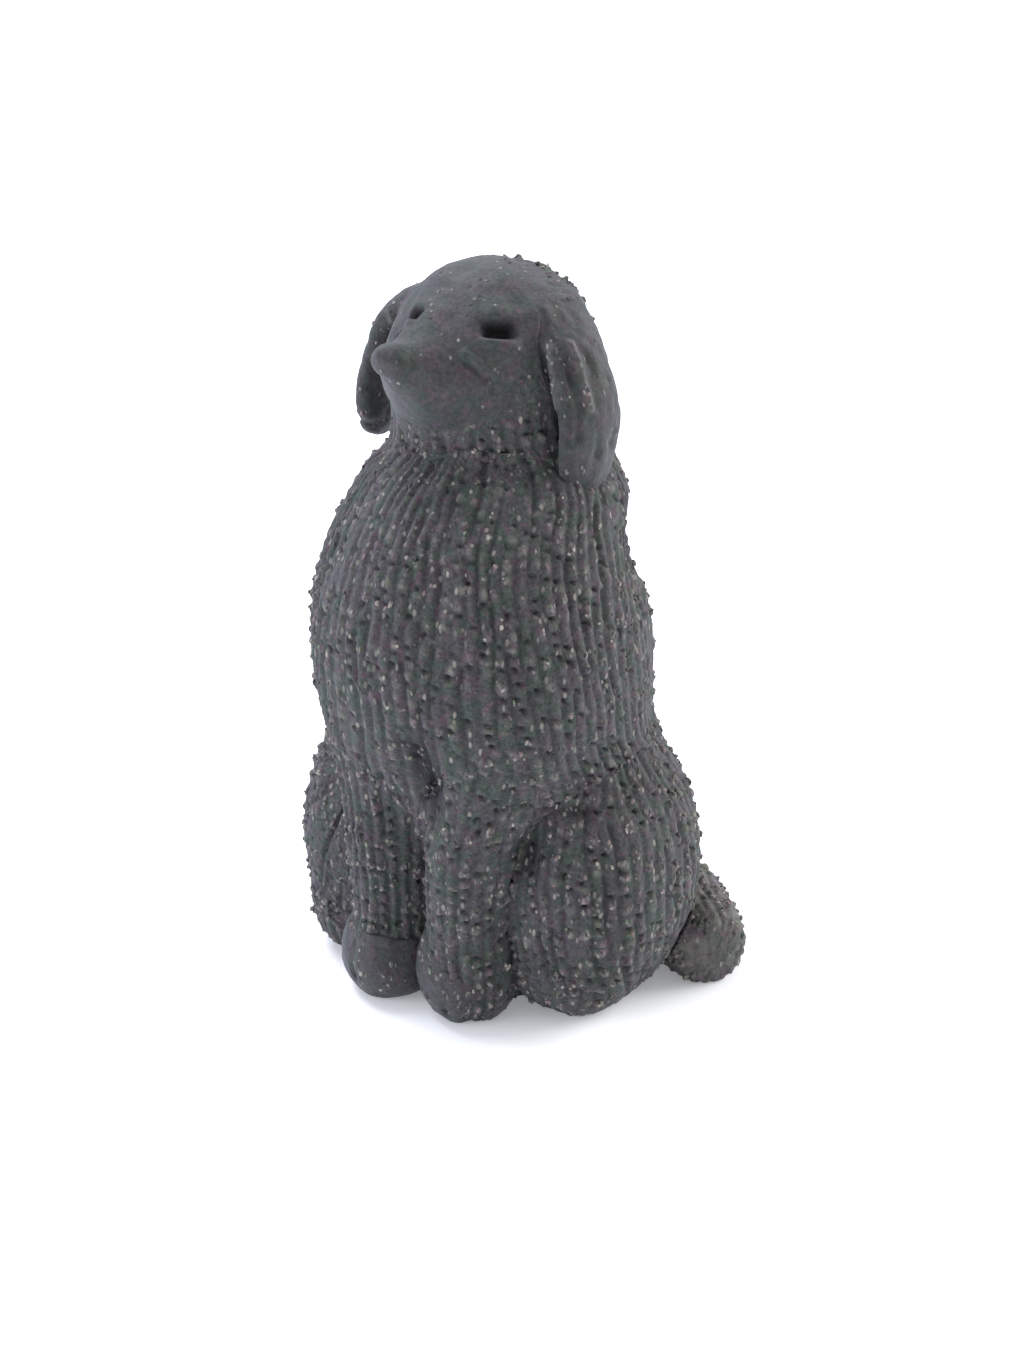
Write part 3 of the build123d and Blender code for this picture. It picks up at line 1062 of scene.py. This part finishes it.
def grog_material(clay, groups):
    """The larger grains: each has its own tone between clay, buff, rose and green grey, and the
    same tooth as the clay."""
    wiring, vector = new_finish("grog")
    tone = wiring.add("ShaderNodeAttribute", attribute_name="tone").outputs["Fac"]
    ramp = wiring.add("ShaderNodeValToRGB", {"Fac": tone})
    ramp.color_ramp.interpolation = "CONSTANT"
    clay_tone, pale = Vector(clay.clay_colour), Vector(clay.pale_grog)
    steps = (
        (0.00, clay_tone * 0.9),
        (0.24, clay_tone * 1.35),
        (0.50, clay_tone.lerp(pale, 0.30)),
        (0.72, Vector((0.17, 0.13, 0.13))),
        (0.80, clay_tone.lerp(pale, 0.55)),
        (0.90, Vector((0.14, 0.16, 0.12))),
        (0.95, pale * 0.9),
    )
    elements = ramp.color_ramp.elements
    for position, _ in steps[2:]:
        elements.new(position)
    for element, (position, colour) in zip(elements, steps):
        element.position = position
        element.color = rgba(colour)
    tones = dict.fromkeys(("Clay", "Cool", "Warm"), ramp.outputs["Color"])
    mottle = wiring.group(groups["mottle"], {**tones, "Vector": vector, "Patch Size": 2.5 * MM})
    tooth = wiring.group(
        groups["tooth"], {"Vector": vector, "Tooth Size": 0.22 * MM, "Pits": 0.3}
    )
    end_finish(
        wiring,
        {"Height": tooth["Height"], "Distance": 0.06 * MM, "Strength": 0.7},
        {"Base Color": mottle["Colour"], "Roughness": 0.7, "Specular IOR Level": 0.4},
    )


COMBED_VALUES = {
    "level": 0.93, "patch_size": 3.2 * MM, "grain_size": 0.85 * MM, "grain_share": 0.34,
    "groove_shade": 0.9, "bead_wear": 0.95, "roughness": 0.8, "tooth_size": 0.42 * MM,
    "pits": 0.8, "tooth_height": 0.2 * MM, "gloss": 0.3, "stretch": 0.55, "sheen": 0.12,
}
SMOOTH_VALUES = {
    "level": 0.61, "patch_size": 3.6 * MM, "grain_size": 0.7 * MM, "grain_share": 0.06,
    "groove_shade": 0.6, "bead_wear": 0.35, "roughness": 0.7, "tooth_size": 0.5 * MM,
    "pits": 0.6, "tooth_height": 0.13 * MM, "gloss": 0.4, "stretch": 0.8, "sheen": 0.12,
}


def materials(clay):
    """The three finishes, made once."""
    if "grog_finish" not in bpy.data.materials:
        groups = make_groups()
        clay_material(COMBED, clay, groups, COMBED_VALUES)
        clay_material(SMOOTH, clay, groups, SMOOTH_VALUES)
        grog_material(clay, groups)
    return {name: bpy.data.materials[f"{name}_finish"] for name in (COMBED, SMOOTH, "grog")}


# ---------------------------------------------------------------- pieces
def work_coat(clay, node, rows, columns, joins, grog, seed, hidden_by=(), ground=False, **strokes):
    """One combed piece: its form, joined to its neighbours, uneven from the hand, combed, and
    strewn with grog."""
    finishes = materials(clay)
    surface = Surface(FORMS[node].grid(rows, columns))
    surface.meld(FORMS[node], joins)
    seed = clay.seed * 100 + seed
    marks = hand_marks(surface.points, clay.hand_depth / MM, seed)
    swell = press(surface.points, strokes.pop("spots", ()))
    coat, wear = strokes.pop("coat", None), strokes.pop("wear", 0)
    height, *masks = comb(surface, clay, seed, **strokes)
    ends = np.minimum(surface.along, surface.along[-1] - surface.along)
    combed = 0.2 + 0.8 * smooth_step(0.5, 4.0, ends)
    if coat is not None:
        combed = combed * coat(surface.points)
    outside = np.ones((rows, 1))
    if node == "body":
        bare = Egg.RIM_ROWS + Egg.INNER_ROWS
        outside[-bare:] = 0
    surface.move((height * combed + marks + swell) * outside)
    if ground:
        surface.rest()
    groove, bead, pit, tone = (mask * combed * outside for mask in masks)
    # painted shade: deep presses, such as the hollow between the forelegs and the creases before the
    # thigh, are painted dark as pit
    pit = pit + 1.2 * np.clip(-swell - 0.2, 0, 0.8)
    # wear makes every bead paler, as painted highlight
    masks = dict(zip(MASKS, (groove, bead + wear, pit, tone)))
    add_skin(node, surface, masks, finishes[COMBED])
    hiding = [FORMS[name] for name in hidden_by]
    add_grog(node, surface, bead, grog, clay, seed, hiding, finishes["grog"])


def hollow_between_legs():
    """The deep hollow where the forelegs part, under the chest."""
    left, right = corners("left_foreleg"), corners("right_foreleg")
    middle = (left[0][0] + right[1][0]) / 2 + 5.1
    front = left[0][1]
    return (((middle, front, left[1][2] - 3.0), np.array((2.7, 6.0, 6.6)), -1.6),)


def body_spots():
    """The hollow between the forelegs, and the uneven line of the back on the dog's left."""
    low, high = corners("body")
    side, back = high[0] - 6.0, 7.0
    tall = high[2] - low[2]
    return hollow_between_legs() + (
        ((side, back, 0.83 * tall), np.array((8, 8, 4.5)), -1.1),
        ((side + 2, back + 1.5, 0.70 * tall), np.array((8, 8, 5)), 0.6),
        ((side - 3, back - 2, 0.91 * tall), np.array((4, 4, 2.5)), 0.8),
    ) + crease_before_thigh()


def crease_before_thigh():
    """The deep crease where the left thigh meets the foreleg, and the short one above it."""
    low, high = corners("left_thigh")
    front, top = low[1], high[2]
    return (
        ((low[0] + 6.8, front + 1.8, top - 10.5), np.array((1.9, 3.5, 3.4)), -0.95),
        ((low[0] + 11.6, front + 6.5, top - 4), np.array((2.8, 3.5, 0.9)), -0.8),
    )


class CLAYDOG_OT_body(bpy.types.Operator):
    """Make the hollow egg of the body, combed from the neck down"""

    bl_idname = "clay_dog.body"
    bl_label = "Body"

    def execute(self, context):
        clay = context.scene.clay_dog
        joins = others(
            ("neck", 8), ("left_foreleg", 6), ("right_foreleg", 6),
            ("left_thigh", 3), ("right_thigh", 3), ("tail", 2),
        )
        hidden = (
            "neck", "left_foreleg", "right_foreleg", "left_thigh", "right_thigh", "tail",
            "left_ear", "muzzle",
        )
        work_coat(clay, "body", 214, 460, joins, 1700, 1, hidden, True, spots=body_spots())
        return {"FINISHED"}


def throat_coat(points):
    """The combing of the neck fades out under the jaw."""
    clear = np.minimum(FORMS["head"].reach(points), FORMS["muzzle"].reach(points))
    return 0.8 * smooth_step(0.3, 3.5, clear)


class CLAYDOG_OT_neck(bpy.types.Operator):
    """Make the short thick roll of the neck"""

    bl_idname = "clay_dog.neck"
    bl_label = "Neck"

    def execute(self, context):
        clay = context.scene.clay_dog
        joins = others(("body", 8), ("head", 4))
        hidden = ("body", "head", "muzzle", "left_ear", "right_ear")
        work_coat(clay, "neck", 130, 360, joins, 190, 2, hidden, coat=throat_coat)
        return {"FINISHED"}


class CLAYDOG_OT_forelegs(bpy.types.Operator):
    """Make both forelegs, combed straight down from the shoulder"""

    bl_idname = "clay_dog.forelegs"
    bl_label = "Forelegs"

    def execute(self, context):
        clay = context.scene.clay_dog
        for index, name in enumerate(SIDES):
            joins = others(("body", 6), (f"{name}_forepaw", 3.5))
            hidden = ("body", f"{name}_forepaw", "left_thigh", "right_thigh")
            work_coat(
                clay, f"{name}_foreleg", 170, 150, joins, 380, 10 + 10 * index, hidden, True,
                spots=hollow_between_legs() + crease_before_thigh(),
            )
        return {"FINISHED"}


class CLAYDOG_OT_haunches(bpy.types.Operator):
    """Make both thighs and the hind paws under them"""

    bl_idname = "clay_dog.haunches"
    bl_label = "Haunches"

    def execute(self, context):
        clay = context.scene.clay_dog
        for index, name in enumerate(SIDES):
            node = f"{name}_thigh"
            joins = others(("body", 3), (f"{name}_hind_paw", 4))
            hidden = ("body", f"{name}_hind_paw", f"{name}_foreleg", "tail")
            work_coat(
                clay, node, 180, 320, joins, 700, 30 + 10 * index, hidden, True,
                spots=crease_before_thigh() if name == "left" else (),
            )
            node = f"{name}_hind_paw"
            joins = others((f"{name}_thigh", 4))
            hidden = ("body", f"{name}_thigh", f"{name}_foreleg", f"{name}_forepaw")
            work_coat(clay, node, 90, 140, joins, 120, 50 + 10 * index, hidden, True)
        return {"FINISHED"}


def tail_coat(points):
    """The combing of the tail fades towards its blunt end."""
    tip = place("tail", TAIL_PATH[-1])
    return 0.3 + 0.7 * smooth_step(2.0, 5.5, np.linalg.norm(points - tip, axis=-1))


class CLAYDOG_OT_tail(bpy.types.Operator):
    """Make the tail, laid on the ground and curled forward"""

    bl_idname = "clay_dog.tail"
    bl_label = "Tail"

    def execute(self, context):
        clay = context.scene.clay_dog
        joins = others(("body", 2), ("left_thigh", 1.4))
        hidden = ("body", "left_thigh")
        # painted highlight: all the tail's beads are painted paler
        work_coat(
            clay, "tail", 170, 170, joins, 420, 70, hidden, True, gap=1.1, coat=tail_coat,
            wear=0.34,
        )
        return {"FINISHED"}


class CLAYDOG_OT_forepaws(bpy.types.Operator):
    """Make both forepaws, smooth lumps with toes drawn by a needle"""

    bl_idname = "clay_dog.forepaws"
    bl_label = "Forepaws"

    def execute(self, context):
        clay = context.scene.clay_dog
        finish = materials(clay)
        for index, name in enumerate(SIDES):
            node = f"{name}_forepaw"
            form = FORMS[node]
            surface = Surface(form.grid(130, 190))
            surface.meld(form, others((f"{name}_foreleg", 3.5)))
            seed = clay.seed * 100 + 80 + 5 * index
            toes = []
            for share in (-0.5, -0.17, 0.17, 0.5):
                angle = share * 1.5
                tip = form.radii * (np.sin(angle), -np.cos(angle), 0)
                start = form.centre + tip * 1.02 + (0, 0, -3.5)
                end = form.centre + tip * 0.86 + (0, 0, 3.0)
                toes.append((start, end, 0.55, -0.55))
            band = (
                form.centre + (-4.2, -4.6, 4.3), form.centre + (3.4, -5.2, 4.3), 0.7, 0.35,
            )
            marks = scratch_marks(surface.points, toes if name == "left" else toes[1:2] + [band])
            height = marks + hand_marks(surface.points, 0.45, seed)
            surface.move(height)
            surface.rest()
            # painted shade: the toe lines are painted darker as groove
            groove = np.clip(-marks / 0.5, 0, 1)
            bead = np.clip(0.5 * drift(surface.points, 1.1, seed + 4) - 0.1, 0, 1)
            tone = 0.5 + 0.5 * drift(surface.points, 1.6, seed + 5)
            masks = dict(zip(MASKS, (groove, bead, 0 * bead, tone)))
            add_skin(node, surface, masks, finish[SMOOTH])
            hidden = [FORMS["body"], FORMS[f"{name}_foreleg"]]
            add_grog(node, surface, bead, 70, clay, seed, hidden, finish["grog"])
        return {"FINISHED"}


EYES = {  # middle in the head's frame, half length, half height and depth of the socket
    "left": ((8.0, -7.4, 5.5), 2.1, 1.05, 3.0),
    "right": ((-2.1, -11.8, 6.7), 1.2, 0.85, 1.5),
}


def sockets(points):
    """Empty eye sockets: a flat-topped bell along the slot times one up and down it, pressed in, with a
    raised lower lid, a brow over it, and near-black painted shade inside."""
    spot = head_axes(points)
    height, painted_shade = np.zeros(points.shape[:-1]), np.zeros(points.shape[:-1])
    for middle, half_length, half_height, depth in EYES.values():
        middle = np.array(middle)
        outward = unit(middle / np.array(HEAD_RADII) ** 2)
        sideways = unit(np.cross((0, 0, 1), outward))
        upward = np.cross(outward, sideways)
        offset = spot - middle
        along, up = offset @ sideways, offset @ upward
        near = bell(offset @ outward, 4)
        slot = near * slab(along, half_length) * slab(up, half_height)
        lid = near * slab(along, half_length * 1.1) * bell(up + 1.75 * half_height, 0.5)
        brow = near * bell(along, half_length * 1.5) * bell(up - 2.0 * half_height, 1.0)
        height += 0.3 * lid + 0.3 * brow - depth * slot
        # painted shade: the inside of the socket is painted near-black
        painted_shade += np.clip(1.6 * slot, 0, 1)
    return height, painted_shade


def head_marks(points, seed):
    """Tool facets and marks on the head: sockets, a raised mark and a furrow on the dog's left cheek,
    the furrow before each ear, and a hollow on the dog's right beside the muzzle. The combing that
    starts behind the brow is added by the head's operator."""
    spot = head_axes(points)
    height, painted_shade = sockets(points)
    facets = 0.32 * drift(spot * (1, 1, 0.7), 4.2, seed) + 0.12 * drift(spot, 1.7, seed + 1)
    marks = scratch_marks(
        spot,
        (
            ((7.2, -12.3, 3.2), (9.0, -10.4, 0.9), 0.6, 0.45),
            ((7.6, -12.3, 2.2), (9.2, -10.6, 0.1), 0.45, -0.35),
            ((12.6, -3.8, 4.0), (12.4, -4.9, -6.0), 1.7, -0.5),
            ((-9.4, -7.6, 5.0), (-12.0, -4.6, -1.0), 1.2, -0.8),
        ),
    )
    hollow = press(spot, (((-4.8, -13.0, 4.3), np.array((2.4, 2.6, 2.8)), -0.7),))
    # painted shade: the hollow beside the muzzle on the dog's right is painted darker
    painted_shade = painted_shade - 0.7 * hollow
    # the furrows are returned as groove, which carries painted shade
    return height + facets + marks + hollow, painted_shade, np.clip(-2 * marks, 0, 1)


class CLAYDOG_OT_head(bpy.types.Operator):
    """Make the head with its empty sockets, the muzzle and the nose"""

    bl_idname = "clay_dog.head"
    bl_label = "Head"

    def execute(self, context):
        clay = context.scene.clay_dog
        finish = materials(clay)
        seed = clay.seed * 100 + 90
        plans = {
            "head": (
                230, 380,
                (("muzzle", 7), ("topknot", 4), ("neck", 4), ("left_ear", 3), ("right_ear", 3)),
            ),
            "muzzle": (190, 300, (("head", 7), ("nose", 3.5))),
            "nose": (60, 90, (("muzzle", 3.5),)),
        }
        for node, (rows, columns, neighbours) in plans.items():
            surface = Surface(FORMS[node].grid(rows, columns))
            surface.meld(FORMS[node], others(*neighbours), 0.2, 0.06)
            height, painted_shade, furrow = head_marks(surface.points, seed)
            spot = head_axes(surface.points)
            hair = smooth_step(0.5, 4.5, spot[..., 1]) if node == "head" else 0 * painted_shade
            strokes, groove, bead, pit, tone = comb(surface, clay, seed + 20)
            surface.move(height + strokes * hair)
            speck = 0.3 * np.clip(drift(surface.points, 1.0, seed + 5), 0, 1)
            bead = bead * hair + speck * (1 - hair) * np.clip(1 - painted_shade, 0, 1)
            # painted shade of the furrows, sockets and hollow goes into groove and pit
            groove, pit = groove * hair + furrow, pit * hair + painted_shade
            masks = dict(zip(MASKS, (groove, bead, pit, tone)))
            add_skin(node, surface, masks, finish[SMOOTH])
            if node == "head":
                hidden = [FORMS[name] for name in ("muzzle", "topknot", "neck", "left_ear")]
                few = bead * (0.06 + hair) * (painted_shade < 0.1)
                add_grog(node, surface, few, 130, clay, seed, hidden, finish["grog"])
        return {"FINISHED"}


def crown_coat(points):
    """The combing of the crown fades in behind the brow."""
    return smooth_step(-3.0, 2.0, head_axes(points)[..., 1])


class CLAYDOG_OT_topknot(bpy.types.Operator):
    """Make the tuft on the crown, combed back from the brow"""

    bl_idname = "clay_dog.topknot"
    bl_label = "Topknot"

    def execute(self, context):
        clay = context.scene.clay_dog
        joins = others(("head", 4), ("left_ear", 3), ("right_ear", 3))
        work_coat(
            clay, "topknot", 150, 260, joins, 230, 120, ("head", "left_ear", "right_ear"),
            gap=1.0, wander=0.7, lean=0.12, coat=crown_coat,
        )
        return {"FINISHED"}


# painted shade: the whole left ear is painted darker, as if it were groove
EAR_SHADE = {"left": 0.75, "right": 0}  # how far the whole ear counts as groove


class CLAYDOG_OT_ears(bpy.types.Operator):
    """Make both hanging ears, drawn down with a wet thumb and a needle"""

    bl_idname = "clay_dog.ears"
    bl_label = "Ears"

    def execute(self, context):
        clay = context.scene.clay_dog
        finish = materials(clay)
        for index, (name, side) in enumerate(SIDES.items()):
            node = f"{name}_ear"
            surface = Surface(FORMS[node].grid(190, 150))
            surface.meld(FORMS[node], others(("head", 3.0), ("topknot", 3.0)))
            seed = clay.seed * 100 + 140 + 10 * index
            spot = head_axes(surface.points) * (side, 1, 1)
            furrows = (
                ((15.6, -3.4, 5.0), (18.2, -3.6, -6.5), 0.55, -0.75),
                ((15.0, -1.9, 4.4), (18.8, -2.0, -3.0), 0.55, 0.6),
                ((16.4, -0.4, 3.0), (19.0, -0.6, -9.0), 0.7, -0.4),
                ((15.4, 2.6, 3.0), (18.6, 2.4, -8.0), 0.8, -0.4),
                ((13.6, -4.2, 4.0), (15.6, -4.8, -3.0), 0.6, 0.4),
            )
            marks = scratch_marks(spot, furrows)
            facets = 0.4 * drift(spot * (1, 1, 0.35), 2.6, seed)
            tooth = 0.12 * drift(spot, 1.1, seed + 1)
            surface.move(marks + facets + tooth)
            # painted shade: the furrows, and the whole left ear by EAR_SHADE, are painted darker as
            # groove
            groove = np.clip(-marks / 0.6 + EAR_SHADE[name], 0, 1)
            # painted highlight: the raised ridges of the ear are painted paler as bead
            bead = np.clip(1.4 * marks, 0, 1) + 0.3 * np.clip(drift(spot, 0.9, seed + 2), 0, 1)
            tone = 0.5 + 0.5 * drift(spot, 1.6, seed + 3)
            masks = dict(zip(MASKS, (groove, bead, 0 * bead, tone)))
            add_skin(node, surface, masks, finish[SMOOTH])
            front = bead * bell(spot[..., 1] + 4, 2.5)
            hidden = [FORMS["head"], FORMS["topknot"], FORMS["neck"], FORMS["body"]]
            add_grog(node, surface, front, 60, clay, seed, hidden, finish["grog"])
        return {"FINISHED"}


# ---------------------------------------------------------------- stage
def aimed(location, target):
    """The turn that points an object's -Z at a target, with Y up."""
    return (Vector(target) - Vector(location)).to_track_quat("-Z", "Y").to_euler()


SUN_WIDTH = math.radians(35)
FLOOR_HALF_SIDE = 1.5
SUNS = (  # name, its strength's setting, colour, and shares towards the camera, right and up
    ("window", "key_light", (0.86, 0.88, 1.0), (-0.5, -0.45, 1.3)),
    ("doorway", "side_light", (1.0, 0.97, 0.93), (-0.35, 1.0, 0.55)),
    ("wall", "wall_light", (0.84, 0.86, 1.0), (0.3, -1.0, 0.3)),
)


def add_sun(name, towards, strength, colour):
    """One wide, even light from a direction."""
    light = bpy.data.lights.new(name, "SUN")
    light.energy, light.color, light.angle = strength, colour, SUN_WIDTH
    made = bpy.data.objects.new(name, light)
    made.rotation_euler = aimed(towards, (0, 0, 0))
    bpy.context.scene.collection.objects.link(made)


def add_floor(colour, height, half_side):
    """A plain square floor."""
    mesh = bpy.data.meshes.new("floor")
    reach = np.array(((-1, -1), (1, -1), (1, 1), (-1, 1))) * half_side
    mesh.from_pydata([(x, y, height) for x, y in reach], [], [(0, 1, 2, 3)])
    material = bpy.data.materials.new("floor")
    material.use_nodes = True
    shader = material.node_tree.nodes["Principled BSDF"]
    shader.inputs["Base Color"].default_value = rgba(colour)
    shader.inputs["Roughness"].default_value = 0.8
    shader.inputs["Emission Color"].default_value = rgba(colour)
    shader.inputs["Emission Strength"].default_value = 0.22
    mesh.materials.append(material)
    floor = bpy.data.objects.new("floor", mesh)
    bpy.context.scene.collection.objects.link(floor)


def make_room(backdrop, room_light):
    """Even light all round, behind which the backdrop is seen at its own brightness."""
    world = bpy.data.worlds.new("room")
    world.use_nodes = True
    wiring = Wiring(world.node_tree)
    seen = wiring.add("ShaderNodeLightPath").outputs["Is Camera Ray"]
    extra = wiring.math("MULTIPLY", seen, backdrop - room_light)
    room = world.node_tree.nodes["Background"]
    room.inputs["Color"].default_value = (0.99, 0.985, 1.0, 1.0)
    wiring.tree.links.new(wiring.math("ADD", extra, room_light), room.inputs["Strength"])
    return world


class CLAYDOG_OT_stage(bpy.types.Operator):
    """Set the floor, the soft lights and the camera"""

    bl_idname = "clay_dog.stage"
    bl_label = "Stage"

    def execute(self, context):
        stage = context.scene.clay_dog_stage
        low, high = CAD_BOX
        middle = (low + high) / 2
        add_floor(stage.floor_colour, low.z, FLOOR_HALF_SIDE)
        turn, rise = stage.azimuth, stage.elevation
        level_back = Vector((math.sin(turn), -math.cos(turn), 0))
        rightward = Vector((math.cos(turn), math.sin(turn), 0))
        up = Vector((0, 0, 1))
        back = level_back * math.cos(rise) + up * math.sin(rise)
        target = middle + Vector(stage.aim)
        camera = bpy.data.objects.new("camera", bpy.data.cameras.new("camera"))
        camera.data.lens = stage.lens
        camera.data.clip_start, camera.data.clip_end = 0.01, 20
        camera.location = target + back * stage.distance
        camera.rotation_euler = aimed(camera.location, target)
        context.scene.collection.objects.link(camera)
        context.scene.camera = camera
        for name, setting, colour, (to_camera, to_right, to_sky) in SUNS:
            towards = level_back * to_camera + rightward * to_right + up * to_sky
            add_sun(name, towards, getattr(stage, setting), colour)
        context.scene.world = make_room(stage.backdrop, stage.room_light)
        context.scene.view_settings.view_transform = "Standard"
        return {"FINISHED"}


# ---------------------------------------------------------------- panel and registration
OPERATORS = (
    CLAYDOG_OT_body,
    CLAYDOG_OT_neck,
    CLAYDOG_OT_head,
    CLAYDOG_OT_topknot,
    CLAYDOG_OT_ears,
    CLAYDOG_OT_forelegs,
    CLAYDOG_OT_forepaws,
    CLAYDOG_OT_haunches,
    CLAYDOG_OT_tail,
    CLAYDOG_OT_stage,
)


class CLAYDOG_PT_pieces(bpy.types.Panel):
    """Lists the dog's pieces and its settings"""

    bl_idname = "CLAYDOG_PT_pieces"
    bl_label = "Clay Dog"
    bl_space_type = "VIEW_3D"
    bl_region_type = "UI"
    bl_category = "Clay Dog"

    def draw(self, context):
        for operator in OPERATORS:
            self.layout.operator(operator.bl_idname)
        for settings in (context.scene.clay_dog, context.scene.clay_dog_stage):
            column = self.layout.column()
            for name in settings.bl_rna.properties.keys():
                if name not in ("rna_type", "name"):
                    column.prop(settings, name)


CLASSES = (ClayDogClay, ClayDogStage, *OPERATORS, CLAYDOG_PT_pieces)


def register():
    """Makes the classes and settings known."""
    for each in CLASSES:
        bpy.utils.register_class(each)
    bpy.types.Scene.clay_dog = PointerProperty(type=ClayDogClay)
    bpy.types.Scene.clay_dog_stage = PointerProperty(type=ClayDogStage)


def unregister():
    """Takes them away again, in the opposite order."""
    del bpy.types.Scene.clay_dog_stage
    del bpy.types.Scene.clay_dog
    for each in reversed(CLASSES):
        bpy.utils.unregister_class(each)


def main():
    """Makes every piece and the stage."""
    register()
    for operator in OPERATORS:
        group, name = operator.bl_idname.split(".")
        getattr(getattr(bpy.ops, group), name)()


if __name__ == "__main__":
    main()
